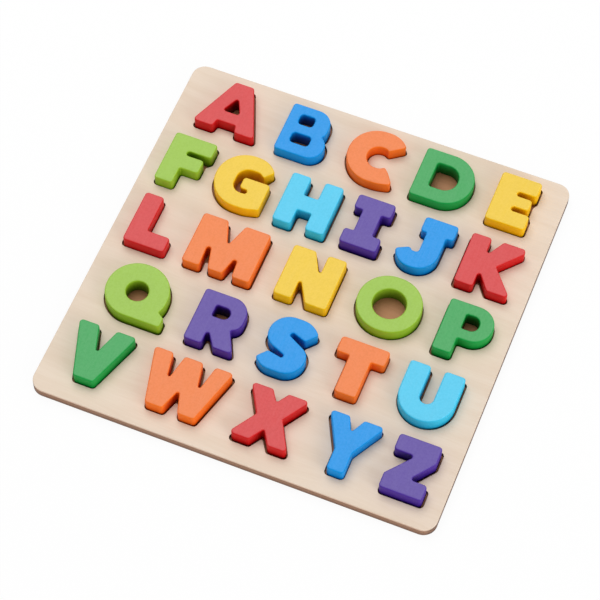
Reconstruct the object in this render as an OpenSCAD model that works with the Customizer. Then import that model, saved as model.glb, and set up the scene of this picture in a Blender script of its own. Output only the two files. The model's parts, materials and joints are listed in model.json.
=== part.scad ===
// Alphabet puzzle: a square plywood tray with 26 thick painted letters in shaped pockets.
// X runs along the rows from A to E, Y up the page towards row one, Z up from the table.
// The origin is the middle of the tray's underside.

/* [Tray] */
// Width of the tray, along the rows
tray_w = 300; // [292:1:360]
// Depth of the tray, across the rows
tray_d = 300; // [285:1:360]
// Thickness of the closed sheet under the pockets
back_t = 4; // [2:0.5:10]
// Thickness of the sheet with the pockets
face_t = 4; // [2:0.5:10]
// Radius of the tray's four corners
tray_corner_r = 10; // [2:0.5:18]

/* [Letters] */
// Height of a capital letter
cap_h = 43.3; // [40:0.1:48]
// Thickness of a letter
letter_t = 13.5; // [6:0.5:25]
// Width of an upright stem
stem_w = 14.5; // [12:0.5:16]
// Thickness of an arm, a bar or a serif
arm_t = 13; // [10:0.5:14]
// Height of the narrow slots in E and F
slot_h = 3.8; // [2.5:0.1:4.5]
// Reach of round letters above the caps and below the baseline
overshoot = 1.4; // [0:0.1:2.5]
// Rounding of the letters' outside corners
corner_r = 2.4; // [0.5:0.1:3]
// Rounding of the letters' inside corners
inside_r = 1.2; // [0.4:0.1:2.5]

/* [Pockets] */
// Clearance between a letter and the wall of its pocket
pocket_gap = 1; // [0.3:0.1:1.8]
// Rounding of the pockets' outside corners
pocket_corner_r = 3; // [0.5:0.1:3.4]
// Least tip radius of the sheet where it reaches in between two strokes
tongue_r = 1.4; // [0.4:0.1:2]

/* [Rows] */
// Space above row one
top_margin = 12; // [9:0.5:16]
// Space below row five
bottom_margin = 15; // [9:0.5:20]
// Space left of row one
row_one_left = 20.4; // [10:0.1:26]
// Space right of row one
row_one_right = 20.3; // [10:0.1:26]
// Space left of row two
row_two_left = 13.3; // [10:0.1:26]
// Space right of row two
row_two_right = 13.7; // [10:0.1:26]
// Space left of row three
row_three_left = 13.4; // [10:0.1:26]
// Space right of row three
row_three_right = 13.7; // [10:0.1:26]
// Space left of row four
row_four_left = 18.8; // [10:0.1:26]
// Space right of row four
row_four_right = 17.4; // [10:0.1:26]
// Space left of row five
row_five_left = 14.6; // [10:0.1:26]
// Space right of row five
row_five_right = 13.9; // [10:0.1:26]

/* [Letter widths] */
// Width of A
a_w = 47; // [44:0.2:53]
// Width of B
b_w = 35.6; // [33:0.2:42]
// Width of C
c_w = 41.4; // [38:0.2:45]
// Width of D
d_w = 42.6; // [38:0.2:47]
// Width of E
e_w = 30.4; // [28:0.2:36]
// Width of F
f_w = 33; // [29:0.2:36]
// Width of G
g_w = 41.6; // [39:0.2:45]
// Width of H
h_w = 40; // [37:0.5:44]
// Width of I
i_w = 28.6; // [25:0.2:32]
// Width of J
j_w = 37; // [35:0.2:41]
// Width of K
k_w = 40.6; // [38:0.2:44]
// Width of L
l_w = 32; // [28:0.2:36]
// Width of M
m_w = 52.4; // [50:0.2:57]
// Width of N
n_w = 40.6; // [38:0.2:45]
// Width of O
o_w = 47.4; // [44:0.2:53]
// Width of P
p_w = 36.2; // [33:0.2:41]
// Width of Q
q_w = 49.6; // [46:0.2:54]
// Width of R
r_w = 37.6; // [35:0.2:43]
// Width of S
s_w = 36; // [34:0.5:40]
// Width of T
t_w = 36.2; // [32:0.2:41]
// Width of U
u_w = 41; // [38:0.5:46]
// Width of V
v_w = 41.6; // [38:0.2:46]
// Width of W
w_w = 57; // [54:0.5:61]
// Width of X
x_w = 41.6; // [39:0.2:46]
// Width of Y
y_w = 38.2; // [36:0.2:42]
// Width of Z
z_w = 31.2; // [28:0.2:36]

/* [Hidden] */
// Steps of a rounded corner, and the length of one step on a wide curve
corner_steps = 4;
curve_step = 1.6;
// Part of a side that its two rounded ends may use up
side_use = 0.98;

red = "#d8434b";
orange = "#f08048";
yellow = "#f2c838";
lime = "#9ccb58";
green = "#46a468";
cyan = "#4cc4ec";
blue = "#2a90e0";
purple = "#6a58a8";
plywood = "#e3d3c1";
ply_back = "#cdb79d";

// Outlines run anticlockwise as [x, y] from the letter's lower left, y = 0 on the baseline.
// A third number is that corner's own radius.

round_top = cap_h + overshoot;
round_base = -overshoot;
round_r = round_top - cap_h / 2;

// How far a slanted stroke's sharp corner lies past its rounded tip
tip = corner_r * 0.55;

// A: two slanted legs and a crossbar
a_mid = a_w / 2;
a_foot = 14.8;
a_apex = 14.5;
a_bar_base = 6.3;
a_bar_top = a_bar_base + 9.8;
a_hole_w = 13.2;
a_hole_r = 1.5;
a_edge = [
    [-tip, 0], [a_foot, 0], [a_mid - a_apex / 2, a_bar_base], [a_mid + a_apex / 2, a_bar_base],
    [a_w - a_foot, 0], [a_w + tip, 0], [a_mid + a_apex / 2, cap_h], [a_mid - a_apex / 2, cap_h]
];
a_hole = [
    [a_mid - a_hole_w / 2, a_bar_top, a_hole_r], [a_mid + a_hole_w / 2, a_bar_top, a_hole_r],
    [a_mid, cap_h - arm_t, a_hole_r]
];

// B: two bowls, the lower one wider
b_waist = cap_h / 2;
b_step = 3.2;
b_notch = 5.4;
b_bowl_r = 12;
b_low_shoulder = 4.3;
b_low_shoulder_r = 11;
b_high_shoulder = 2.2;
b_high_shoulder_r = 6;
b_back_wall = 8.7;
b_bowl_wall = 12.1;
b_hole_r = 2.6;
b_low_hole_h = 9;
b_high_hole_h = 8.9;
b_low_hole_top = b_waist - 3.2;
b_high_hole_base = b_waist + 5;
b_low_hole_w = b_w - b_back_wall - b_bowl_wall;
b_high_hole_w = b_low_hole_w - b_step;
b_edge = [
    [0, 0], [b_w, 0, b_bowl_r], [b_w, b_waist - b_low_shoulder, b_low_shoulder_r], [b_w - b_notch, b_waist],
    [b_w - b_step, b_waist + b_high_shoulder, b_high_shoulder_r], [b_w - b_step, cap_h, b_bowl_r], [0, cap_h]
];
b_low_hole = rect(b_back_wall, b_low_hole_top - b_low_hole_h, b_low_hole_w, b_low_hole_h, b_hole_r);
b_high_hole = rect(b_back_wall, b_high_hole_base, b_high_hole_w, b_high_hole_h, b_hole_r);

// C: an open ring with a flat lower lip
c_bay = stem_w + 0.7;
c_bay_base = 12;
c_bay_top = cap_h - arm_t;
c_bay_r = 9;
c_back = [
    [c_w - 8, round_top, round_r], [0, round_top, round_r],
    [0, round_base, round_r], [c_w - 10.4, round_base, 40]
];
c_low_lip = [[c_w, 1.6], [c_w - 6.2, 10.8, 6], [c_w - 10.2, 14.8], [c_w - 13.4, c_bay_base, c_bay_r]];
c_high_lip = [[c_w - 14.8, c_bay_top, 8], [c_w - 12.2, c_bay_top - 1.8], [c_w - 1, cap_h - 6.6]];
c_edge = concat(
    c_back, c_low_lip, [[c_bay, c_bay_base, c_bay_r], [c_bay, c_bay_top, c_bay_r]], c_high_lip
);

// D: a stem and one big bowl
d_wall = 11.4;
d_hole_right = d_w - 12.1;
d_hole_top = cap_h - 10.3;
d_hole_r = 10;
d_hole_corner_r = 2;
d_edge = [[0, 0], [d_w, 0, cap_h / 2], [d_w, cap_h, cap_h / 2], [0, cap_h]];
d_hole = [
    [d_wall, d_wall, d_hole_corner_r], [d_hole_right, d_wall, d_hole_r],
    [d_hole_right, d_hole_top, d_hole_r], [d_wall, d_hole_top, d_hole_corner_r]
];

// E: a stem with three arms, the middle one shorter
e_stem = stem_w + 1.3;
e_mid = e_w - 2.2;
e_slot_r = slot_h / 2;
e_edge = [
    [0, 0], [e_w, 0], [e_w, arm_t], [e_stem, arm_t, e_slot_r], [e_stem, arm_t + slot_h, e_slot_r],
    [e_mid, arm_t + slot_h], [e_mid, cap_h - arm_t - slot_h], [e_stem, cap_h - arm_t - slot_h, e_slot_r],
    [e_stem, cap_h - arm_t, e_slot_r], [e_w, cap_h - arm_t], [e_w, cap_h], [0, cap_h]
];
e_bed = [
    [0, 0], [e_w, 0], [e_w, arm_t], [e_mid, arm_t + slot_h], [e_mid, cap_h - arm_t - slot_h],
    [e_w, cap_h - arm_t], [e_w, cap_h], [0, cap_h]
];

// F: a stem with two arms
f_mid = f_w - 4;
f_mid_base = cap_h - 2 * arm_t - slot_h + 1;
f_edge = [
    [0, 0], [stem_w, 0], [stem_w, f_mid_base], [f_mid, f_mid_base], [f_mid, cap_h - arm_t - slot_h],
    [stem_w, cap_h - arm_t - slot_h, slot_h / 2], [stem_w, cap_h - arm_t, slot_h / 2],
    [f_w, cap_h - arm_t], [f_w, cap_h], [0, cap_h]
];
f_bed = [
    [0, 0], [stem_w, 0], [stem_w, f_mid_base], [f_mid, f_mid_base], [f_mid, cap_h - arm_t - slot_h],
    [f_w, cap_h - arm_t], [f_w, cap_h], [0, cap_h]
];

// G: an open ring with a square bar
g_bay = stem_w + 1.1;
g_bay_base = cap_h / 2 - 10.4;
g_bay_top = cap_h - 11.2;
g_bar = g_bay + 5.4;
g_bar_top = cap_h / 2 + 3.2;
g_bar_base = g_bar_top - 10;
g_slot_end = g_bar + 6.5;
g_slot_r = 1.7;
g_back = [
    [g_w - 1, cap_h - 7.3], [g_w - 7.9, round_top, 20], [0, round_top, round_r],
    [0, round_base, round_r], [g_w - 11, round_base, 22], [g_w, 1.5]
];
g_edge = concat(g_back, [
    [g_w, g_bar_top], [g_bar, g_bar_top], [g_bar, g_bar_base],
    [g_slot_end, g_bar_base, g_slot_r], [g_slot_end, g_bay_base, g_slot_r], [g_bay, g_bay_base, 7],
    [g_bay, g_bay_top, 9], [g_w - 11.4, g_bay_top, 6], [g_w - 7.3, cap_h - 14, 1]
]);
g_bed = concat(g_back, [[g_w, g_bar_top], [g_w - 6, g_bar_top + 2.4]]);

// H: two stems and a crossbar
h_bar_base = (cap_h - arm_t) / 2 - 1.3;
h_bar_top = h_bar_base + arm_t + 0.4;
h_edge = [
    [0, 0], [stem_w, 0], [stem_w, h_bar_base], [h_w - stem_w, h_bar_base], [h_w - stem_w, 0], [h_w, 0],
    [h_w, cap_h], [h_w - stem_w, cap_h], [h_w - stem_w, h_bar_top], [stem_w, h_bar_top],
    [stem_w, cap_h], [0, cap_h]
];

// I: a stem with a serif at each end
i_serif = arm_t - 0.7;
i_stem = (i_w - stem_w) / 2;
i_edge = [
    [0, 0], [i_w, 0], [i_w, i_serif], [i_w - i_stem, i_serif], [i_w - i_stem, cap_h - i_serif],
    [i_w, cap_h - i_serif], [i_w, cap_h], [0, cap_h], [0, cap_h - i_serif],
    [i_stem, cap_h - i_serif], [i_stem, i_serif], [0, i_serif]
];

// J: a stem with a serif and a hook
j_right = j_w - 5.4;
j_left = j_right - stem_w - 0.5;
j_serif = j_left - 4.9;
j_serif_base = cap_h - arm_t;
j_hook_r = 16;
j_bay_base = 12.4;
j_edge = [
    [0, 10], [4, round_base, j_hook_r], [j_right, round_base, j_hook_r], [j_right, j_serif_base],
    [j_w, j_serif_base], [j_w, cap_h], [j_serif, cap_h], [j_serif, j_serif_base], [j_left, j_serif_base],
    [j_left, j_bay_base, 2.4], [j_left - 4.8, j_bay_base, 2], [j_left - 7, j_bay_base + 2.5]
];

// K: a stem, an arm and a leg
k_low_slot = [stem_w, 14.4, 1.3];
k_high_slot = [stem_w, cap_h - 15.8, 1.2];
k_waist = [k_w - 15.6, 21.5];
k_edge = [
    [0, 0], [stem_w, 0], k_low_slot, [k_w - 15.8, 0], [k_w + 2, 0], k_waist, [k_w - 0.2, cap_h - 4.4],
    [k_w - 0.6, cap_h], [k_w - 17.2, cap_h], k_high_slot, [stem_w, cap_h], [0, cap_h]
];

// L: a stem and a foot
l_edge = [[0, 0], [l_w, 0], [l_w, arm_t], [stem_w, arm_t], [stem_w, cap_h], [0, cap_h]];

// M: two stems and a deep middle
m_mid = (m_w - 1) / 2;
m_dip_w = 13.8;
m_dip = [m_mid + 0.4, cap_h - 19.8, 1];
m_left_slot = [12.3, 31.2, 1.6];
m_right_slot = [m_w - 15.3, 22.1, 1.6];
m_edge = [
    [0, 0], [13.9, 0], m_left_slot, [20.5, 0], [m_w - 21, 0], m_right_slot, [m_w - 13.6, 0], [m_w, 0],
    [m_w, cap_h], [m_mid + m_dip_w / 2, cap_h], m_dip, [m_mid - m_dip_w / 2, cap_h], [0, cap_h]
];

// N: two stems and a diagonal
n_left_stem = stem_w - 0.3;
n_right_stem = n_w - stem_w;
n_low_slot = [n_left_stem, 18.5, 1.1];
n_high_slot = [n_right_stem, cap_h - 18.9, 1.1];
n_edge = [
    [0, 0], [n_left_stem, 0], n_low_slot, [n_w - 16, 0], [n_w, 0], [n_w, cap_h],
    [n_right_stem, cap_h], n_high_slot, [16.4, cap_h], [0, cap_h]
];

// O: a full ring
o_hole_d = 24.2;
o_edge = rect(0, round_base, o_w, round_top - round_base, round_r);
o_hole = rect((o_w - o_hole_d) / 2, (cap_h - o_hole_d) / 2, o_hole_d, o_hole_d, o_hole_d / 2);

// P: a stem and a bowl
p_base = 13.8;
p_bowl_r = 15;
p_hole_base = p_base + 8.3;
p_hole_top = cap_h - 8.9;
p_hole_right = p_w - 10.4;
p_hole_r = 5.5;
p_edge = [
    [0, 0], [stem_w, 0], [stem_w, p_base], [p_w, p_base, p_bowl_r], [p_w, cap_h, p_bowl_r], [0, cap_h]
];
p_hole = [
    [stem_w, p_hole_base, 1.4], [p_hole_right, p_hole_base, p_hole_r],
    [p_hole_right, p_hole_top, p_hole_r], [stem_w, p_hole_top, 1.4]
];

// Q: a ring with a flat tail along the baseline
q_ring = q_w - 3;
q_hole_d = 16.2;
q_tail = [[q_w, 0], [q_w - 0.3, 8], [q_ring - 2.2, 11.2]];
q_edge = concat(
    [[0, 0, 22]], q_tail, [[q_ring, 15.7, 20], [q_ring, round_top, round_r], [0, round_top, round_r]]
);
q_hole = rect((q_ring - q_hole_d) / 2, (cap_h - q_hole_d) / 2, q_hole_d, q_hole_d, q_hole_d / 2);

// R: a stem, a bowl and a leg
r_bowl = r_w - 2.1;
r_stem = stem_w - 0.6;
r_slot = [r_stem, 13, 1.4];
r_waist = [r_w - 8.4, 17];
r_hole_left = 12.2;
r_hole_right = r_bowl - 11.4;
r_hole_base = 23.6;
r_hole_top = cap_h - 10.4;
r_hole_r = 4.6;
r_edge = [
    [0, 0], [r_stem, 0], r_slot, [r_w - 15, 0], [r_w, 0], r_waist,
    [r_bowl, 20.4, 9], [r_bowl, cap_h, 13], [0, cap_h]
];
r_hole = [
    [r_hole_left, r_hole_base, 1.4], [r_hole_right, r_hole_base, r_hole_r],
    [r_hole_right, r_hole_top, r_hole_r], [r_hole_left, r_hole_top, 1.4]
];

// S: two bowls with narrow slots
s_belly = s_w - 1.7;
s_waist = cap_h / 2 - 1.8;
s_top = round_top - 0.6;
s_slot_r = 1.5;
s_low = [[0, 4.8], [7, round_base, 14], [s_belly, round_base, 15], [s_belly, s_waist, 10]];
s_high = [[s_w - 0.2, cap_h - 7], [s_w - 7.7, s_top, 16], [1, s_top, 16], [1, 20.2, 13]];
s_high_slot = [[16.2, cap_h - 14, s_slot_r], [17.8, cap_h - 11.4, s_slot_r], [s_w - 7.8, cap_h - 15]];
s_low_slot = [[18.6, 12.8, s_slot_r], [17.9, 10.3, s_slot_r], [6.8, 12.5]];
s_edge = concat(s_low, s_high_slot, s_high, s_low_slot);
s_bed = concat(s_low, [[s_w - 9, cap_h - 16.8]], s_high, [[8.5, 17]]);

// T: a bar on a broad stem
t_stem = stem_w + 1.7;
t_left = (t_w - t_stem) / 2;
t_edge = [
    [t_left, 0], [t_left + t_stem, 0], [t_left + t_stem, cap_h - arm_t], [t_w, cap_h - arm_t],
    [t_w, cap_h], [0, cap_h], [0, cap_h - arm_t], [t_left, cap_h - arm_t]
];

// U: two stems on a round base
u_stem = stem_w + 0.9;
u_bay_base = 14;
u_bay_r = 5;
u_edge = [
    [0, 0, u_w / 2], [u_w, 0, u_w / 2], [u_w, cap_h], [u_w - u_stem, cap_h],
    [u_w - u_stem, u_bay_base, u_bay_r], [u_stem, u_bay_base, u_bay_r], [u_stem, cap_h], [0, cap_h]
];

// V: two slanted strokes
v_mid = v_w / 2;
v_arm = stem_w - 0.6;
v_edge = [
    [v_mid - 7.8, 0], [v_mid + 7.4, 0], [v_w + tip, cap_h], [v_w - v_arm, cap_h],
    [v_mid - 0.2, cap_h / 2, 1], [v_arm, cap_h], [-tip, cap_h]
];

// W: four slanted strokes
w_arm = 12.5;
w_mid = w_w / 2;
w_notch = [w_mid - 0.5, 17.9, 1.2];
w_left_dip = [16.8, 20.5, 1];
w_right_dip = [w_w - 17.2, 20.5, 1];
w_edge = [
    [9.2, 0], [w_mid - 6.2, 0], w_notch, [w_mid + 5.2, 0], [w_w - 10.9, 0], [w_w + tip, cap_h],
    [w_w - w_arm, cap_h], w_right_dip, [w_mid + 6.4, cap_h], [w_mid - 7.3, cap_h],
    w_left_dip, [w_arm, cap_h], [-tip - 0.4, cap_h]
];

// X: two crossed strokes
x_mid = x_w / 2;
x_top = cap_h - 0.8;
x_notch = [x_mid, 10.8, 1];
x_dip = [x_mid, x_top - 9, 1];
x_left_waist = [11.2, 20.4];
x_right_waist = [x_w - 11.6, 22.4];
x_edge = [
    [-tip - 0.5, 0], [13.8, 0], x_notch, [x_w - 14, 0], [x_w + tip - 0.6, 0], x_right_waist,
    [x_w + tip, x_top], [x_w - 15, x_top], x_dip, [14.9, x_top], [-tip, x_top], x_left_waist
];

// Y: a stem that forks
y_left = 12.2;
y_right = y_left + 12.7;
y_fork_r = 4;
y_dip = [y_w / 2 - 0.9, cap_h - 11.6, 1];
y_edge = [
    [y_left, 0], [y_right, 0], [y_right, 17.2, y_fork_r], [y_w + tip, cap_h], [y_w - 14.2, cap_h], y_dip,
    [13.2, cap_h], [-tip, cap_h], [y_left, 16.6, y_fork_r]
];

// Z: two bars and a diagonal
z_low = arm_t - 0.6;
z_high = cap_h - arm_t;
z_edge = [
    [0, 0], [z_w, 0], [z_w, z_low], [z_w - 13.2, z_low, 1.6], [z_w, z_high - 0.6], [z_w, cap_h],
    [0, cap_h], [0, z_high], [15.8, z_high, 1.6], [0, z_low - 1.2]
];

// Each letter: its name, paint, width, outline, holes, the outline of its pocket, and the way it
// leans in there, as a part of the clearance
letters = [
    ["a", red, a_w, a_edge, [a_hole], a_edge, [0, -0.1]],
    ["b", blue, b_w, b_edge, [b_low_hole, b_high_hole], b_edge, [-0.5, -0.4]],
    ["c", orange, c_w, c_edge, [], c_edge, [0.2, -0.3]],
    ["d", green, d_w, d_edge, [d_hole], d_edge, [0.2, -0.3]],
    ["e", yellow, e_w, e_edge, [], e_bed, [-0.2, 0]],
    ["f", lime, f_w, f_edge, [], f_bed, [0.1, -0.6]],
    ["g", yellow, g_w, g_edge, [], g_bed, [0.6, -0.1]],
    ["h", cyan, h_w, h_edge, [], h_edge, [-0.5, 0.2]],
    ["i", purple, i_w, i_edge, [], i_edge, [-0.6, 0.6]],
    ["j", blue, j_w, j_edge, [], j_edge, [-0.1, 0.2]],
    ["k", red, k_w, k_edge, [], k_edge, [0.6, 0.1]],
    ["l", red, l_w, l_edge, [], l_edge, [0.5, -0.5]],
    ["m", orange, m_w, m_edge, [], m_edge, [-0.3, 0]],
    ["n", yellow, n_w, n_edge, [], n_edge, [0.2, -0.2]],
    ["o", lime, o_w, o_edge, [o_hole], o_edge, [0.2, 0]],
    ["p", green, p_w, p_edge, [p_hole], p_edge, [0.3, 0.3]],
    ["q", lime, q_w, q_edge, [q_hole], q_edge, [-0.2, 0.5]],
    ["r", purple, r_w, r_edge, [r_hole], r_edge, [-0.1, 0.1]],
    ["s", blue, s_w, s_edge, [], s_bed, [-0.1, 0.1]],
    ["t", orange, t_w, t_edge, [], t_edge, [0.6, -0.1]],
    ["u", cyan, u_w, u_edge, [], u_edge, [-0.5, 0.2]],
    ["v", green, v_w, v_edge, [], v_edge, [0.2, -0.1]],
    ["w", orange, w_w, w_edge, [], w_edge, [-0.5, 0]],
    ["x", red, x_w, x_edge, [], x_edge, [0, 0.6]],
    ["y", blue, y_w, y_edge, [], y_edge, [0.6, -0.2]],
    ["z", purple, z_w, z_edge, [], z_edge, [-0.6, 0.2]]
];

// The first letter of each row, the spaces at its ends, and how its spare width is shared among its gaps
row_first = [0, 5, 11, 16, 21, 26];
row_left = [row_one_left, row_two_left, row_three_left, row_four_left, row_five_left];
row_right = [row_one_right, row_two_right, row_three_right, row_four_right, row_five_right];
gap_shares = [
    [17.4, 15.3, 13.3, 16.3], [7.1, 12.1, 11.9, 11, 10.1], [15, 17.8, 16.1, 15.4],
    [18.1, 15, 14.2, 16.1], [17.4, 15.4, 16.3, 12.8]
];
// How far each pocket lies above its row's line
pocket_rise = [
    [0.7, 0.4, 0, 0.5, 1.1], [0.6, 0.3, -0.5, -0.4, 0, 0.3], [0.8, 0, -0.1, 0.3, 0.2],
    [-0.5, -0.5, -0.1, -0.1, 0], [0.7, 0.1, -0.1, 0.4, 0.7]
];
row_count = len(row_first) - 1;
row_pitch = (tray_d - top_margin - bottom_margin - cap_h) / (row_count - 1);

function node_name(letter) = str("letter_", letter[0]);

function total(list, count) = count <= 0 ? 0 : list[count - 1] + total(list, count - 1);

function row_of(i) = max([for (row = [0 : row_count - 1]) if (row_first[row] <= i) row]);

function row_widths(row) = [for (i = [row_first[row] : row_first[row + 1] - 1]) letters[i][2]];

// Lower left corner of letter i on the tray
function place(i) =
    let (
        row = row_of(i),
        before = i - row_first[row],
        widths = row_widths(row),
        shares = gap_shares[row],
        spare = tray_w - row_left[row] - row_right[row] - total(widths, len(widths)),
        gaps = spare * total(shares, before) / total(shares, len(shares))
    )
    [
        row_left[row] - tray_w / 2 + total(widths, before) + gaps,
        tray_d / 2 - top_margin - cap_h - row * row_pitch + pocket_rise[row][before]
    ];

function rect(x, y, w, h, r) = [[x, y, r], [x + w, y, r], [x + w, y + h, r], [x, y + h, r]];

// A closed outline's corner, the side that leaves it, and that side's outward normal
function corner(line, i) = let (p = line[(i + len(line)) % len(line)]) [p.x, p.y];
function side(line, i) = corner(line, i + 1) - corner(line, i);
function outward(line, i) = let (s = side(line, i) / norm(side(line, i))) [s.y, -s.x];

// Turn at a corner, in degrees: positive at an outside corner
function turn(line, i) = let (a = side(line, i - 1), b = side(line, i)) atan2(cross(a, b), a * b);

// Radius of a corner: its own, or the letters' usual one
function radius(line, i) =
    let (own = line[(i + len(line)) % len(line)].z)
    is_undef(own) ? (turn(line, i) > 0 ? corner_r : inside_r) : own;

// Length of side that a corner's rounding uses, and the part of it for which there is room
function reach(line, i) = radius(line, i) * tan(abs(turn(line, i)) / 2);
function room(line, i) =
    min(
        1,
        side_use * norm(side(line, i)) / (reach(line, i) + reach(line, i + 1)),
        side_use * norm(side(line, i - 1)) / (reach(line, i - 1) + reach(line, i))
    );

// The same outline with its sides moved out by gap. Its usual outside corners get the radius edge_r, and
// its inside corners are kept at tip_r or more.
function grown(line, gap, edge_r, tip_r) = [
    for (i = [0 : len(line) - 1])
        let (
            a = outward(line, i - 1),
            b = outward(line, i),
            p = corner(line, i) + gap * (a + b) / (1 + a * b),
            outside = is_undef(line[i].z) ? edge_r : radius(line, i) + gap,
            r = turn(line, i) > 0 ? outside : max(radius(line, i) - gap, tip_r)
        )
        [p.x, p.y, r]
];

// Points of one rounded corner
function arc(line, i) =
    let (
        angle = turn(line, i),
        way = sign(angle),
        fit = room(line, i),
        r = radius(line, i) * fit,
        steps = max(corner_steps, ceil(r * abs(angle) * PI / 180 / curve_step)),
        normal = outward(line, i - 1),
        before = side(line, i - 1) / norm(side(line, i - 1)),
        centre = corner(line, i) - reach(line, i) * fit * before - way * r * normal
    )
    [for (j = [0 : steps]) centre + way * r * turned(normal, angle * j / steps)];

function turned(v, angle) = [v.x * cos(angle) - v.y * sin(angle), v.x * sin(angle) + v.y * cos(angle)];

function rounded(line) = [for (i = [0 : len(line) - 1]) each arc(line, i)];

module tray_outline()
    polygon(rounded(rect(-tray_w / 2, -tray_d / 2, tray_w, tray_d, tray_corner_r)));

module back_panel()
    color(ply_back) linear_extrude(back_t) tray_outline();

module face_panel()
    color(plywood) translate([0, 0, back_t]) linear_extrude(face_t) difference() {
        tray_outline();
        for (i = [0 : len(letters) - 1])
            translate(place(i)) polygon(rounded(grown(letters[i][5], pocket_gap, pocket_corner_r, tongue_r)));
    }

// Letter i, standing on the back panel in its pocket
module letter(i)
    color(letters[i][1])
    translate(concat(place(i) + pocket_gap * letters[i][6], back_t)) linear_extrude(letter_t) difference() {
        polygon(rounded(letters[i][3]));
        for (hole = letters[i][4])
            polygon(rounded(hole));
    }

back_panel();
face_panel();
for (i = [0 : len(letters) - 1])
    letter(i);
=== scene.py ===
"""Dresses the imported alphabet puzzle: rounded painted letters, a plywood tray and a plain studio."""

import json
import math

import bpy
from bpy.props import FloatProperty, FloatVectorProperty, PointerProperty
from mathutils import Matrix, Vector
from mathutils.geometry import delaunay_2d_cdt, intersect_line_line_2d


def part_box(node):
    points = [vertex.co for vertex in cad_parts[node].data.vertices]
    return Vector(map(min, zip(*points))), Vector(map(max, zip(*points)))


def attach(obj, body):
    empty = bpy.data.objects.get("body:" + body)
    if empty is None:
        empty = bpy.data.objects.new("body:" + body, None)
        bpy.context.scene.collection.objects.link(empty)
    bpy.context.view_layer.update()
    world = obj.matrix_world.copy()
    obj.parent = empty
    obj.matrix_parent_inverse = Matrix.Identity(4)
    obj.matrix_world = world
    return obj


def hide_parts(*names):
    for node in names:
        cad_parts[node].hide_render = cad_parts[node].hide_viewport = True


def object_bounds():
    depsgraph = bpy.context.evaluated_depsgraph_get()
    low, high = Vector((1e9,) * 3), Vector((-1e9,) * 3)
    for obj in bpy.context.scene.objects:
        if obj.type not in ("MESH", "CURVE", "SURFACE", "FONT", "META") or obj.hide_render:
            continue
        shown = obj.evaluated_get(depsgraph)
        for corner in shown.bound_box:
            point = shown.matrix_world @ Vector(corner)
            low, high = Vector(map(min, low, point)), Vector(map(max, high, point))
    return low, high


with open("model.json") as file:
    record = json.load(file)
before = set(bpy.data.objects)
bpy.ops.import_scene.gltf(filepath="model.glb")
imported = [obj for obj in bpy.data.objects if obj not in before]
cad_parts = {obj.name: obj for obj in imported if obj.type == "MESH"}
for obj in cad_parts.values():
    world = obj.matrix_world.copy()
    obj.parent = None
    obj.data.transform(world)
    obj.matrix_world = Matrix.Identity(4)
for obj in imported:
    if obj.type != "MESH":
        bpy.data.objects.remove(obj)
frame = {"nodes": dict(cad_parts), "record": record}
cad_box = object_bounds()

bl_info = {
    "name": "Alphabet Puzzle",
    "version": (1, 0, 0),
    "blender": (4, 5, 0),
    "location": "3D View > Sidebar > Puzzle",
    "description": "Builds the painted letters, the plywood tray and the studio of an alphabet puzzle",
    "category": "Object",
}

MM = 0.001
LETTERS = sorted(node for node in frame["nodes"] if node.startswith("letter_"))
SLOTS = {part["node"]: part["material_slot"] for part in frame["record"]["subparts"]}

# Heights that differ by less, in metres, are the same level
TOUCH = 1e-6
# Points of a cap that lie nearer, in metres, would be joined
SAME_POINT = 1e-9
# Cosine of the least turn that counts as a corner of an outline
STRAIGHT = 0.99995
# The most points along which two sides of one corner could meet
CORNER_POINTS = 14
# The part of each side that is left by the rounding of an edge, at the least
LEAST_SIDE = 0.1
# How a radius that is too large for its corner is reduced, again and again
REDUCTION = 0.9
# Facets of a rounded edge
EDGE_STEPS = 5
# How far the floor lies under the tray, so that their faces don't meet
FLOOR_GAP = 0.05 * MM

# The fine relief of paint and wood
BUMP_STRENGTH = 0.25
BUMP_DEPTH = 0.12 * MM
# Openness counts this many times, so that painted shade falls only in truly narrow places
OPENNESS_COUNT = 1.3
# The shade in a letter's holes fades from its foot to its top, both raised by this
HOLE_LIFT = 1.5 * MM
# The veneer's grain runs a little askew to the tray's front
GRAIN_SLANT = math.radians(3)
# Cut edges up to the first distance from the rim are the tray's own, and from the second the pockets'
RIM_EDGES = 5 * MM
POCKET_EDGES = 8 * MM
# Half the height over which one ply's colour passes into the next
PLY_BLUR = 0.3 * MM
# Brightness of the darker marks and the painted shade in the wood, in parts of the wood's own
SPECK_TONE = 0.55
GLUE_TONE = 0.4
# The cut edges that face left and right are darkened to this as painted shade
SIDE_SHADE_TONE = 0.3
STREAK_TONE = 0.8
BACK_PLY_TONE = 0.95


def srgb(red, green, blue):
    """A screen colour, 0 to 255, as the linear values of a shader."""
    def linear(level):
        level /= 255
        return level / 12.92 if level <= 0.04045 else ((level + 0.055) / 1.055) ** 2.4
    return linear(red), linear(green), linear(blue)


# Settings


def length(name, description, default, low, high):
    """A length setting, given in millimetres."""
    return FloatProperty(
        name=name, description=description, default=default * MM, min=low * MM, max=high * MM,
        precision=5, unit="LENGTH",
    )


def colour(name, description, red, green, blue):
    """A colour setting, given as a screen colour."""
    return FloatVectorProperty(
        name=name, description=description, default=srgb(red, green, blue), min=0, max=1, size=3,
        subtype="COLOR",
    )


def share(name, description, default):
    """A setting from 0 to 1."""
    return FloatProperty(name=name, description=description, default=default, min=0, max=1, subtype="FACTOR")


def angle(name, description, degrees):
    """An angle setting, given in degrees."""
    return FloatProperty(
        name=name, description=description, default=math.radians(degrees), subtype="ANGLE",
    )


def span(name, description, metres):
    """A large length setting, given in metres."""
    return FloatProperty(name=name, description=description, default=metres, min=0, unit="LENGTH")


def lamp_power(name, description, watts):
    """A lamp's power setting, given in watts."""
    return FloatProperty(name=name, description=description, default=watts, min=0, unit="POWER")


def spot(name, description, x, y, z):
    """A place setting, in metres."""
    return FloatVectorProperty(
        name=name, description=description, default=(x, y, z), size=3, subtype="TRANSLATION", unit="LENGTH",
    )


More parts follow.
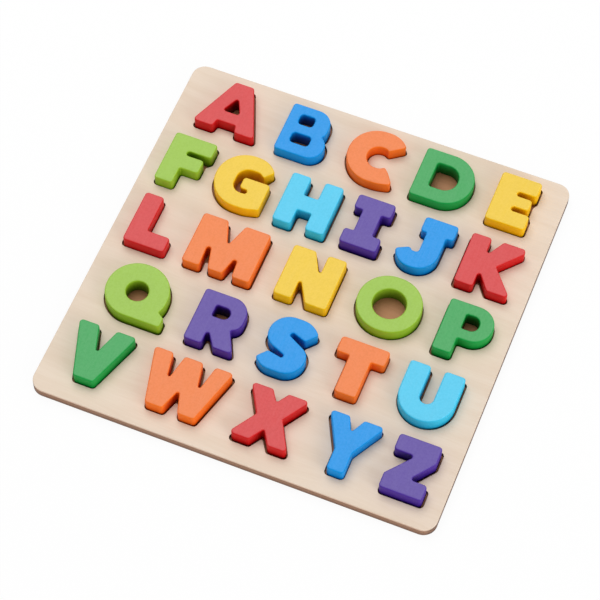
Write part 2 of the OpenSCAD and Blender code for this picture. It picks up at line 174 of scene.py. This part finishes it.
class LetterSettings(bpy.types.PropertyGroup):
    """Edges and paints of the letters"""
    top_round: length("Top rounding", "Radius of a letter's upper edge", 1.3, 0.3, 1.6)
    foot_round: length("Foot rounding", "Radius of a letter's lower edge", 0.9, 0.3, 1.6)
    facet: length("Facet length", "Longest straight step along an outline", 2.5, 1, 10)
    # Painted sheen: these three settings whiten the upper faces, as gloss from the light would
    chalk: share("Painted sheen", "Whiteness painted on the upper faces as sheen", 0.087)
    blue_chalk: share("Blue painted sheen", "The same painted sheen on the blue letters, where it is weaker", 0.043)
    chalk_grain: share("Painted sheen grain", "How much the wood's grain varies that whiteness", 0.04)
    speckle: share("Speckle", "How much fine specks vary the paint's whiteness and darkness", 0.05)
    mottle: share("Mottle", "How much darker the paint's large patches are", 0.03)
    roughness: share("Roughness", "How matt the paint is", 0.42)
    shine: share("Shine", "Strength of the reflections in the paint", 0.1)
    # Painted shade: the walls of the orange and yellow letters are made redder, as that paint looks in shade
    wall_warmth: FloatProperty(
        name="Wall warmth", default=1.14, min=1, max=1.15,
        description="How many times as red the walls of the orange and yellow letters are, as painted shade",
    )
    # Painted shade: these three settings darken and deepen the paint where other walls or the board are near
    nook: length("Nook width", "How near another wall or the board must be to darken the paint as painted shade", 13, 2, 30)
    nook_tone: share("Nook tone", "Brightness left of the paint in the narrowest places", 0.6)
    nook_depth: share("Nook depth", "How much deeper the paint's colour is in the narrowest places", 0.6)
    # Painted shade: how dark the paint is made at the foot of the holes
    hole_tone: share("Hole tone", "Brightness left of the paint at the foot of a letter's holes", 0.5)
    red: colour("Red", "Paint of A, K, L and X", 212, 28, 30)
    orange: colour("Orange", "Paint of C, M, T and W", 239, 120, 32)
    yellow: colour("Yellow", "Paint of E, G and N", 239, 199, 4)
    lime: colour("Light green", "Paint of F, O and Q", 150, 193, 44)
    green: colour("Green", "Paint of D, P and V", 22, 160, 70)
    cyan: colour("Sky blue", "Paint of H and U", 58, 200, 238)
    blue: colour("Blue", "Paint of B, J, S and Y", 2, 150, 231)
    purple: colour("Purple", "Paint of I, R and Z", 78, 46, 155)


class TraySettings(bpy.types.PropertyGroup):
    """Edges and colours of the plywood tray"""
    rim_round: length("Rim rounding", "Radius of the tray's upper edge", 0.5, 0.3, 3)
    foot_round: length("Foot rounding", "Radius of the tray's lower edge", 0.3, 0.2, 3)
    ease: length("Easing", "Radius that sanding left on the pockets' rims and the glue joint", 0.3, 0.1, 0.8)
    facet: length("Facet length", "Longest straight step along an outline", 6, 1, 20)
    ply: length("Upper ply", "Thickness of a sheet's upper ply", 1.4, 0.3, 1.5)
    ply_wave: length("Ply wave", "Height over which the plies' borders wander", 0.3, 0, 1)
    glue: length("Glue line", "Height of the dark line at the foot of a sheet's edge", 0.2, 0.05, 1)
    glue_depth: share("Glue line depth", "How strongly that dark line shows", 0.6)
    edge_specks: share("Edge specks", "How strongly dark specks show on the cut edges", 0.9)
    side_shade: share("Side shade", "How strongly the cut edges that face left and right are darkened", 0.8)
    sway: length("Grain sway", "Width over which the veneer's grain wanders", 12, 0, 40)
    figure: share("Figure", "How strongly the growth streaks show", 0.75)
    pores: share("Pores", "How strongly the veneer's pores show", 0.2)
    roughness: share("Roughness", "How matt the cut edges are, a little more so than the faces", 0.62)
    shine: share("Shine", "Strength of the reflections in the wood", 0.35)
    veneer: colour("Veneer", "Face of the plywood", 229, 211, 192)
    streak: colour("Streak", "Darker growth streaks in the veneer", 221, 200, 178)
    floor_tint: colour("Pocket floor", "Closed sheet at the bottom of the pockets", 195, 135, 93)
    upper_ply: colour("Upper ply edge", "Cut edge of the face sheet's upper ply", 228, 190, 163)
    lower_ply: colour("Lower ply edge", "Cut edge of the face sheet's lower plies", 152, 114, 90)
    back_edge: colour("Back edge", "Cut edge of the closed back sheet", 140, 104, 82)
    # Painted shade: the cut edges round the pockets get this dark colour
    scorch: colour("Pocket edge", "Cut edge round the pockets, darkened as painted shade", 72, 38, 28)


class StudioSettings(bpy.types.PropertyGroup):
    """Camera, lights and floor"""
    azimuth: angle("Azimuth", "Camera's turn to the right of the tray's front", 20.493)
    elevation: angle("Elevation", "Camera's height above the table", 59.409)
    roll: angle("Roll", "Camera's turn about its own line of sight", 1.475)
    distance: span("Distance", "From the camera to the middle of the tray", 1.6007)
    lens: FloatProperty(
        name="Lens", description="Focal length of the camera, in millimetres", default=133.63, unit="CAMERA",
    )
    shift: FloatVectorProperty(
        name="Shift", description="How far the picture is shifted on the film, in parts of its width",
        default=(-0.0131, -0.0168), size=2,
    )
    key_power: lamp_power("Key light", "Power of the large soft lamp", 30)
    key_size: span("Key size", "Width of the large soft lamp", 2)
    key_spot: spot("Key place", "Where the large soft lamp hangs", -0.65, 0.75, 2.05)
    fill_power: lamp_power("Fill light", "Power of the lamp in front", 20)
    fill_size: span("Fill size", "Width of the lamp in front", 1.6)
    fill_spot: spot("Fill place", "Where the lamp in front hangs", 1.8, -0.9, 0.65)
    sky: share("Sky", "Strength of the even light from all sides", 0.47)
    floor: colour("Floor", "The plain floor", 246, 246, 246)
    floor_size: span("Floor size", "Width of the plain floor", 8)
    floor_glow: share("Floor glow", "How far the floor is lifted to white in the picture", 0.93)


# Shader nodes


class Socket:
    """A shader output in an expression. Arithmetic on it adds Math nodes."""

    def __init__(self, nodes, output):
        self.nodes = nodes
        self.output = output

    def math(self, operation, *values):
        return self.nodes.add("ShaderNodeMath", {"operation": operation}, dict(enumerate(values)))

    def __add__(self, other):
        return self.math("ADD", self, other)

    def __radd__(self, other):
        return self.math("ADD", other, self)

    def __sub__(self, other):
        return self.math("SUBTRACT", self, other)

    def __rsub__(self, other):
        return self.math("SUBTRACT", other, self)

    def __mul__(self, other):
        return self.math("MULTIPLY", self, other)

    def __rmul__(self, other):
        return self.math("MULTIPLY", other, self)

    def __abs__(self):
        return self.math("ABSOLUTE", self)

    def larger(self, other):
        return self.math("MAXIMUM", self, other)

    def repeated(self, period):
        """Counted from 0 again after each period."""
        return self.math("FLOORED_MODULO", self, period)


class Nodes:
    """A node tree while it is made."""

    def __init__(self, tree):
        self.tree = tree
        self.tree.nodes.clear()

    def add(self, kind, settings, sockets, out=0):
        """Adds a node: its settings first, then its sockets' values or links. Gives the output out."""
        node = self.tree.nodes.new(kind)
        for name, value in settings.items():
            setattr(node, name, value)
        for key, value in sockets.items():
            socket = self.pick(node.inputs, key)
            if isinstance(value, Socket):
                self.tree.links.new(value.output, socket)
            else:
                socket.default_value = value
        return Socket(self, self.pick(node.outputs, out)) if node.outputs else None

    @staticmethod
    def pick(sockets, key):
        if isinstance(key, int):
            return sockets[key]
        return next(socket for socket in sockets if socket.name == key and socket.enabled)

    def place(self):
        """Where a point lies on the puzzle, in metres."""
        return self.add("ShaderNodeTexCoord", {}, {}, "Object")

    def part(self, vector, axis):
        """One coordinate of a vector."""
        return self.add("ShaderNodeSeparateXYZ", {}, {0: vector}, axis)

    def facing(self, axis):
        """How far the surface faces along an axis: 1 along it, 0 across it, -1 against it."""
        return self.part(self.add("ShaderNodeNewGeometry", {}, {}, "Normal"), axis)

    def stretch(self, vector, per_x, per_y, per_z):
        """A vector scaled so that a step of the given millimetres becomes one."""
        factors = (1 / (per_x * MM), 1 / (per_y * MM), 1 / (per_z * MM))
        return self.add("ShaderNodeVectorMath", {"operation": "MULTIPLY"}, {0: vector, 1: factors})

    def noise(self, vector, detail=2, roughness=0.5):
        return self.add(
            "ShaderNodeTexNoise", {},
            {"Vector": vector, "Scale": 1, "Detail": detail, "Roughness": roughness},
        )

    def ramp(self, value, low, high):
        """From 0 at low to 1 at high, smoothly."""
        return self.add(
            "ShaderNodeMapRange", {"interpolation_type": "SMOOTHSTEP"},
            {"Value": value, "From Min": low, "From Max": high},
        )

    def mix(self, factor, first, second):
        """From the first colour to the second."""
        return self.add(
            "ShaderNodeMix", {"data_type": "RGBA"},
            {"Factor": factor, "A": rgba(first), "B": rgba(second)}, "Result",
        )

    def bump(self, height):
        return self.add(
            "ShaderNodeBump", {}, {"Height": height, "Strength": BUMP_STRENGTH, "Distance": BUMP_DEPTH}
        )

    def surface(self, shader):
        self.add("ShaderNodeOutputMaterial", {}, {"Surface": shader})


def rgba(value):
    return value if isinstance(value, Socket) else (*value, 1)


def new_material(name):
    material = bpy.data.materials.new(name)
    material.use_nodes = True
    return material, Nodes(material.node_tree)


def dimmed(tone, level):
    """A colour at a part of its brightness."""
    return tuple(part * level for part in tone)


def paint_finish(name, paint, chalk, warmth, letters):
    """Satin paint on wood: painted sheen pales its top, painted shade deepens and darkens nooks and holes.
    """
    material, nodes = new_material(name)
    place = nodes.place()
    mottle = nodes.noise(nodes.stretch(place, 9, 9, 9), detail=3)
    grain = nodes.noise(nodes.stretch(place, 0.9, 14, 0.9), detail=3, roughness=0.6)
    peel = nodes.noise(nodes.stretch(place, 0.5, 0.5, 0.5), detail=2)
    speck = nodes.noise(nodes.stretch(place, 1.5, 1.5, 1.5), detail=3, roughness=0.6)
    upper = nodes.ramp(nodes.facing("Z"), 0.55, 1)
    red, green, blue = paint
    # Painted shade: the walls of the orange and yellow letters are redder than their upper faces
    tint = nodes.mix(upper, (red * warmth, green, blue), paint)
    patches = (1 - nodes.ramp(mottle, 0.3, 0.7)) * letters.mottle
    specks = (0.5 - nodes.ramp(speck, 0.35, 0.65)) * letters.speckle
    tint = nodes.mix((patches + specks).larger(0), tint, (0, 0, 0))
    # Painted sheen: the upper faces are whitened, varied by the wood's grain and fine specks
    whiteness = chalk + (grain - 0.5) * letters.chalk_grain + (speck - 0.5) * letters.speckle
    tint = nodes.mix(upper * whiteness, tint, (1, 1, 1))
    # Painted shade: the paint darkens and deepens where other walls or the board are near
    openness = nodes.add("ShaderNodeAmbientOcclusion", {"samples": 8}, {"Distance": letters.nook}, "AO")
    narrow = (1 - openness * OPENNESS_COUNT).larger(0)
    deep = nodes.add("ShaderNodeGamma", {}, {"Color": tint, "Gamma": 1 + narrow * letters.nook_depth})
    nook_shaded = nodes.mix(narrow * (1 - letters.nook_tone), deep, (0, 0, 0))
    # Painted shade: the paint in a letter's holes is darker towards their foot
    low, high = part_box(LETTERS[0])
    sunk = 1 - nodes.ramp(nodes.part(place, "Z"), low.z + HOLE_LIFT, high.z + HOLE_LIFT)
    hole = nodes.add("ShaderNodeAttribute", {"attribute_name": "hole"}, {}, "Fac")
    base = nodes.mix(hole * sunk * (1 - letters.hole_tone), nook_shaded, (0, 0, 0))
    relief = grain * 0.6 + peel * 0.4
    shader = nodes.add("ShaderNodeBsdfPrincipled", {}, {
        "Base Color": base,
        "Roughness": letters.roughness + (mottle - 0.5) * 0.12 + (grain - 0.5) * 0.1,
        "Specular IOR Level": letters.shine,
        "Normal": nodes.bump(relief),
    })
    nodes.surface(shader)
    return material


def ply_finish(name, tray, face, streak, upper, lower):
    """Pale plywood: straight veneer grain on the flat faces, stacked plies on the cut edges."""
    material, nodes = new_material(name)
    square = nodes.place()
    place = nodes.add(
        "ShaderNodeVectorRotate", {"rotation_type": "Z_AXIS"}, {"Vector": square, "Angle": GRAIN_SLANT}
    )
    sway = nodes.noise(nodes.stretch(place, 90, 40, 40), detail=1)
    drift = nodes.add("ShaderNodeCombineXYZ", {}, {"Y": (sway - 0.5) * tray.sway})
    flow = nodes.add("ShaderNodeVectorMath", {"operation": "ADD"}, {0: place, 1: drift})
    figure = nodes.noise(nodes.stretch(flow, 120, 9, 30), detail=3, roughness=0.55)
    fibre = nodes.noise(nodes.stretch(flow, 16, 0.8, 3), detail=3, roughness=0.6)
    pores = nodes.ramp(nodes.noise(nodes.stretch(flow, 4, 0.35, 2), detail=1), 0.62, 0.74)
    cloud = nodes.noise(nodes.stretch(place, 60, 60, 60), detail=2)
    shade = nodes.ramp(figure * 0.6 + fibre * 0.25 + cloud * 0.15, 0.36, 0.66)
    veneer = nodes.mix(shade * tray.figure + pores * tray.pores, face, streak)
    level = nodes.part(place, "Z")
    end_grain = nodes.noise(nodes.stretch(place, 1.2, 1.2, 0.35), detail=3, roughness=0.65)
    run = nodes.noise(nodes.stretch(place, 30, 30, 0.6), detail=2)
    sheet_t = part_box("face_panel")[0].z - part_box("back_panel")[0].z
    height = (level + (run - 0.5) * tray.ply_wave).repeated(sheet_t)
    ply_foot = sheet_t - tray.ply
    cut = nodes.mix(nodes.ramp(height, ply_foot - PLY_BLUR, ply_foot + PLY_BLUR), lower, upper)
    cut = nodes.mix((end_grain - 0.4).larger(0) * tray.edge_specks, cut, dimmed(lower, SPECK_TONE))
    glue = (1 - nodes.ramp(height, 0, tray.glue)) * tray.glue_depth
    cut = nodes.mix(glue, cut, dimmed(lower, GLUE_TONE))
    half_w, half_d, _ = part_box("face_panel")[1]
    past_rim = (abs(nodes.part(square, "X")) - half_w).larger(abs(nodes.part(square, "Y")) - half_d)
    # Painted shade: cut edges well inside the rim, round the pockets, take the dark pocket edge colour
    cut = nodes.mix(nodes.ramp(past_rim, -POCKET_EDGES, -RIM_EDGES), tray.scorch, cut)
    # Painted shade: the cut edges that face left and right are darker
    sideways = nodes.ramp(abs(nodes.facing("X")), 0.4, 0.9)
    cut = nodes.mix(sideways * tray.side_shade, cut, dimmed(lower, SIDE_SHADE_TONE))
    flat = nodes.ramp(abs(nodes.facing("Z")), 0.05, 0.45)
    relief = fibre * 0.5 + figure * 0.2 - pores * 0.4 + end_grain * (1 - flat)
    shader = nodes.add("ShaderNodeBsdfPrincipled", {}, {
        "Base Color": nodes.mix(flat, cut, veneer),
        "Roughness": tray.roughness - flat * 0.08 + (fibre - 0.5) * 0.16,
        "Specular IOR Level": tray.shine,
        "Normal": nodes.bump(relief),
    })
    nodes.surface(shader)
    return material


# Meshes


def left_of(step):
    return Vector((-step.y, step.x)).normalized()


def cap_outlines(node):
    """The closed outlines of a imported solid's top face, each with the solid on its left."""
    mesh = frame["nodes"][node].data
    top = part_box(node)[1].z
    sides = {}
    for face in mesh.polygons:
        corners = [mesh.vertices[i].co for i in face.vertices]
        if face.normal.z > 0.9 and all(abs(co.z - top) < TOUCH for co in corners):
            ids = [(round(co.x, 6), round(co.y, 6)) for co in corners]
            for start, end in zip(ids, ids[1:] + ids[:1]):
                sides[start, end] = True
    follow = {start: end for start, end in sides if (end, start) not in sides}
    outlines = []
    while follow:
        start = min(follow)
        outline = [start]
        while follow[outline[-1]] != start:
            outline.append(follow.pop(outline[-1]))
        follow.pop(outline[-1])
        outlines.append(straightened([Vector(point) for point in outline]))
    if not outlines:
        raise RuntimeError(f"{node} has no flat top face")
    return sorted(outlines, key=area, reverse=True)


def area(outline):
    """Signed area: positive where the outline runs anticlockwise."""
    return sum(a.cross(b) for a, b in zip(outline, outline[1:] + outline[:1])) / 2


def straightened(outline):
    """The outline without the points that lie along a straight side."""
    kept = []
    for before, here, after in zip(outline[-1:] + outline[:-1], outline, outline[1:] + outline[:1]):
        if left_of(here - before).dot(left_of(after - here)) < STRAIGHT:
            kept.append(here)
    return kept


def stepped(outline, facet):
    """The outline with its long sides cut into facets."""
    points = []
    for here, after in zip(outline, outline[1:] + outline[:1]):
        count = max(1, math.ceil((after - here).length / facet))
        points += [here.lerp(after, i / count) for i in range(count)]
    return points


def inward_ways(outline):
    """At each point, the way into the solid that moves both its sides by one."""
    ways = []
    for before, here, after in zip(outline[-1:] + outline[:-1], outline, outline[1:] + outline[:1]):
        a, b = left_of(here - before), left_of(after - here)
        ways.append((a + b) / (1 + a.dot(b)))
    return ways


def fitting_radii(outline, inward, radius):
    """The edge radius at each point: less than usual where a tight corner would fold over."""
    count = len(outline)
    radii = [radius] * count
    folded = True
    while folded:
        moved = [here + way * r for here, way, r in zip(outline, inward, radii)]
        folded = set()
        for i in range(count):
            j = (i + 1) % count
            side = outline[j] - outline[i]
            if (moved[j] - moved[i]).dot(side) < LEAST_SIDE * side.length_squared:
                folded |= {i, j}
            for near in range(i + 2, i + CORNER_POINTS):
                k, m = near % count, (near + 1) % count
                if m != i and intersect_line_line_2d(moved[i], moved[j], moved[k], moved[m]):
                    folded |= {n % count for n in range(i, near + 2)}
        for i in folded:
            radii[i] *= REDUCTION
    return radii


def inside(spot, points, sides):
    """Whether a spot lies inside the outlines: a line to its right crosses an odd number of sides."""
    odd = False
    for start, end in sides:
        a, b = points[start], points[end]
        if (a.y > spot.y) != (b.y > spot.y) and spot.x < a.x + (spot.y - a.y) * (b.x - a.x) / (b.y - a.y):
            odd = not odd
    return odd


class Skin:
    """A piece's points, normals and faces while they are made."""

    def __init__(self):
        self.points = []
        self.normals = []
        self.holes = []
        self.faces = []

    def ring(self, outline, inward, radii, edge, side, tilt):
        """One ring of a rounded edge. Each point has its own radius, and side is 1 above and -1 below."""
        self.holes += [float(area(outline) < 0)] * len(outline)
        first = len(self.points)
        for here, way, radius in zip(outline, inward, radii):
            spot = here + way * radius * (1 - math.sin(tilt))
            out = -way.normalized() * math.sin(tilt)
            self.points.append((spot.x, spot.y, edge - side * radius * (1 - abs(math.cos(tilt)))))
            self.normals.append((out.x, out.y, math.cos(tilt)))
        return list(range(first, len(self.points)))

    def band(self, upper, lower):
        """Faces between two rings of the same outline."""
        for i, j in zip(range(len(upper)), [*range(1, len(upper)), 0]):
            self.faces.append((upper[i], lower[i], lower[j], upper[j]))

    def cap(self, rings, up):
        """A flat face inside the first ring, around the others."""
        ids = [i for ring in rings for i in ring]
        spots = [Vector(self.points[i][:2]) for i in ids]
        sides, first = [], 0
        for ring in rings:
            last = first + len(ring) - 1
            sides += [(i, i + 1) for i in range(first, last)] + [(last, first)]
            first = last + 1
        made, _, faces, came_from, _, _ = delaunay_2d_cdt(spots, sides, [], 0, SAME_POINT)
        if len(made) != len(spots):
            raise RuntimeError("an outline crosses itself")
        for corners in faces:
            a, b, c = (made[i] for i in corners)
            if inside((a + b + c) / 3, spots, sides):
                x, y, z = (ids[came_from[i][0]] for i in corners)
                self.faces.append((x, y, z) if ((b - a).cross(c - a) > 0) == up else (x, z, y))

    def made(self, name, material):
        mesh = bpy.data.meshes.new(name)
        mesh.from_pydata(self.points, [], self.faces)
        mesh.materials.append(material)
        mesh.polygons.foreach_set("use_smooth", [True] * len(mesh.polygons))
        mesh.normals_split_custom_set_from_vertices(self.normals)
        mesh.attributes.new("hole", "FLOAT", "POINT").data.foreach_set("value", self.holes)
        mesh.validate()
        piece = bpy.data.objects.new(name, mesh)
        bpy.context.scene.collection.objects.link(piece)
        return piece


def slab(name, outlines, low, high, rounds, material):
    """A flat piece between two levels. Each outline has its own rounding below and above."""
    skin = Skin()
    tilts = [math.pi / 2 * i / EDGE_STEPS for i in range(EDGE_STEPS + 1)]
    tops, feet = [], []
    for outline, (foot, rim) in zip(outlines, rounds):
        inward = inward_ways(outline)
        rim_radii = fitting_radii(outline, inward, rim)
        foot_radii = fitting_radii(outline, inward, foot)
        rings = [skin.ring(outline, inward, rim_radii, high, 1, tilt) for tilt in tilts]
        rings += [skin.ring(outline, inward, foot_radii, low, -1, math.pi / 2 + tilt) for tilt in tilts]
        for upper, lower in zip(rings, rings[1:]):
            skin.band(upper, lower)
        tops.append(rings[0])
        feet.append(rings[-1])
    skin.cap(tops, True)
    skin.cap(feet, False)
    return skin.made(name, material)


# Pieces


def dress(piece, node, body):
    """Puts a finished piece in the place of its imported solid."""
    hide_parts(node)
    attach(piece, body)


class PUZZLE_OT_letters(bpy.types.Operator):
    """Build the rounded, painted letters in the places of their solids"""
    bl_idname = "puzzle.letters"
    bl_label = "Painted letters"

    def execute(self, context):
        settings = context.scene.puzzle_letters
        paints = {}
        for node in LETTERS:
            slot = SLOTS[node]
            if slot not in paints:
                paint = slot.removeprefix("paint_")
                chalk = settings.blue_chalk if paint == "blue" else settings.chalk
                warmth = settings.wall_warmth if paint in ("orange", "yellow") else 1
                paints[slot] = paint_finish(slot, getattr(settings, paint), chalk, warmth, settings)
            low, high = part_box(node)
            outlines = [stepped(outline, settings.facet) for outline in cap_outlines(node)]
            rounds = [(settings.foot_round, settings.top_round)] * len(outlines)
            piece = slab(node.replace("letter", "painted"), outlines, low.z, high.z, rounds, paints[slot])
            dress(piece, node, node)
        return {"FINISHED"}


class PUZZLE_OT_face_sheet(bpy.types.Operator):
    """Build the plywood sheet with the letter pockets"""
    bl_idname = "puzzle.face_sheet"
    bl_label = "Pocketed face sheet"

    def execute(self, context):
        tray = context.scene.puzzle_tray
        low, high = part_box("face_panel")
        outlines = [stepped(outline, tray.facet) for outline in cap_outlines("face_panel")]
        rounds = [(tray.ease, tray.rim_round)] + [(tray.ease, tray.ease)] * (len(outlines) - 1)
        material = ply_finish("plywood_face", tray, tray.veneer, tray.streak, tray.upper_ply, tray.lower_ply)
        dress(slab("face_sheet", outlines, low.z, high.z, rounds, material), "face_panel", "tray")
        return {"FINISHED"}


class PUZZLE_OT_back_sheet(bpy.types.Operator):
    """Build the closed plywood sheet under the pockets"""
    bl_idname = "puzzle.back_sheet"
    bl_label = "Closed back sheet"

    def execute(self, context):
        tray = context.scene.puzzle_tray
        low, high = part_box("back_panel")
        outlines = [stepped(outline, tray.facet) for outline in cap_outlines("back_panel")]
        streak = dimmed(tray.floor_tint, STREAK_TONE)
        lower = dimmed(tray.back_edge, BACK_PLY_TONE)
        material = ply_finish("plywood_back", tray, tray.floor_tint, streak, tray.back_edge, lower)
        rounds = [(tray.foot_round, tray.ease)]
        dress(slab("back_sheet", outlines, low.z, high.z, rounds, material), "back_panel", "tray")
        return {"FINISHED"}


# Stage


def soft_lamp(name, power, size, spot):
    """A round lamp that faces the middle of the tray."""
    lamp = bpy.data.lights.new(name, "AREA")
    lamp.energy = power
    lamp.shape = "DISK"
    lamp.size = size
    holder = bpy.data.objects.new(name, lamp)
    holder.location = spot
    holder.rotation_euler = (-Vector(spot)).to_track_quat("-Z", "Y").to_euler()
    bpy.context.scene.collection.objects.link(holder)


def seen_straight(nodes):
    """1 for what the camera sees, directly or in a gloss or through glass."""
    def ray(kind):
        return nodes.add("ShaderNodeLightPath", {}, {}, kind)
    return ray("Is Camera Ray").larger(ray("Is Glossy Ray")).larger(ray("Is Transmission Ray"))


def make_floor(studio):
    material, nodes = new_material("pale_floor")
    matt = nodes.add("ShaderNodeBsdfDiffuse", {}, {"Color": rgba(studio.floor)})
    glow = nodes.add("ShaderNodeEmission", {}, {"Color": (1, 1, 1, 1), "Strength": 1})
    lift = seen_straight(nodes) * studio.floor_glow
    nodes.surface(nodes.add("ShaderNodeMixShader", {}, {0: lift, 1: matt, 2: glow}))
    mesh = bpy.data.meshes.new("pale_floor")
    half = studio.floor_size / 2
    corners = [(-half, -half, 0), (half, -half, 0), (half, half, 0), (-half, half, 0)]
    mesh.from_pydata(corners, [], [(0, 1, 2, 3)])
    mesh.materials.append(material)
    floor = bpy.data.objects.new("pale_floor", mesh)
    floor.location.z = cad_box[0][2] - FLOOR_GAP
    bpy.context.scene.collection.objects.link(floor)


def make_sky(studio):
    world = bpy.data.worlds.new("studio")
    world.use_nodes = True
    nodes = Nodes(world.node_tree)
    strength = studio.sky + seen_straight(nodes) * (1 - studio.sky)
    sky = nodes.add("ShaderNodeBackground", {}, {"Color": (1, 1, 1, 1), "Strength": strength})
    nodes.add("ShaderNodeOutputWorld", {}, {"Surface": sky})
    bpy.context.scene.world = world


def make_camera(studio):
    camera = bpy.data.cameras.new("camera")
    camera.lens = studio.lens
    camera.sensor_width = 36
    camera.shift_x, camera.shift_y = studio.shift
    camera.clip_start = 0.05
    holder = bpy.data.objects.new("camera", camera)
    tilt = math.pi / 2 - studio.elevation
    turn = Matrix.Rotation(studio.azimuth, 4, "Z") @ Matrix.Rotation(tilt, 4, "X")
    turn = turn @ Matrix.Rotation(studio.roll, 4, "Z")
    holder.matrix_world = turn @ Matrix.Translation((0, 0, studio.distance))
    bpy.context.scene.collection.objects.link(holder)
    bpy.context.scene.camera = holder


class PUZZLE_OT_studio(bpy.types.Operator):
    """Build the floor, the lights and the camera"""
    bl_idname = "puzzle.studio"
    bl_label = "Studio"

    def execute(self, context):
        studio = context.scene.puzzle_studio
        make_floor(studio)
        make_sky(studio)
        make_camera(studio)
        soft_lamp("key", studio.key_power, studio.key_size, studio.key_spot)
        soft_lamp("fill", studio.fill_power, studio.fill_size, studio.fill_spot)
        context.scene.view_settings.view_transform = "Standard"
        return {"FINISHED"}


class PUZZLE_PT_sidebar(bpy.types.Panel):
    """The puzzle's pieces and their settings"""
    bl_label = "Alphabet puzzle"
    bl_idname = "PUZZLE_PT_sidebar"
    bl_space_type = "VIEW_3D"
    bl_region_type = "UI"
    bl_category = "Puzzle"

    def draw(self, context):
        scene = context.scene
        groups = (
            (scene.puzzle_letters, LetterSettings, (PUZZLE_OT_letters,)),
            (scene.puzzle_tray, TraySettings, (PUZZLE_OT_face_sheet, PUZZLE_OT_back_sheet)),
            (scene.puzzle_studio, StudioSettings, (PUZZLE_OT_studio,)),
        )
        for settings, kind, operators in groups:
            box = self.layout.box()
            for operator in operators:
                box.operator(operator.bl_idname)
            for name in kind.__annotations__:
                box.prop(settings, name)


GROUPS = {"puzzle_letters": LetterSettings, "puzzle_tray": TraySettings, "puzzle_studio": StudioSettings}
CLASSES = (
    *GROUPS.values(), PUZZLE_OT_letters, PUZZLE_OT_face_sheet, PUZZLE_OT_back_sheet, PUZZLE_OT_studio,
    PUZZLE_PT_sidebar,
)


def register():
    for kind in CLASSES:
        bpy.utils.register_class(kind)
    for name, kind in GROUPS.items():
        setattr(bpy.types.Scene, name, PointerProperty(type=kind))


def unregister():
    for name in GROUPS:
        delattr(bpy.types.Scene, name)
    for kind in reversed(CLASSES):
        bpy.utils.unregister_class(kind)


def main():
    register()
    bpy.ops.puzzle.back_sheet()
    bpy.ops.puzzle.face_sheet()
    bpy.ops.puzzle.letters()
    bpy.ops.puzzle.studio()


if __name__ == "__main__":
    main()
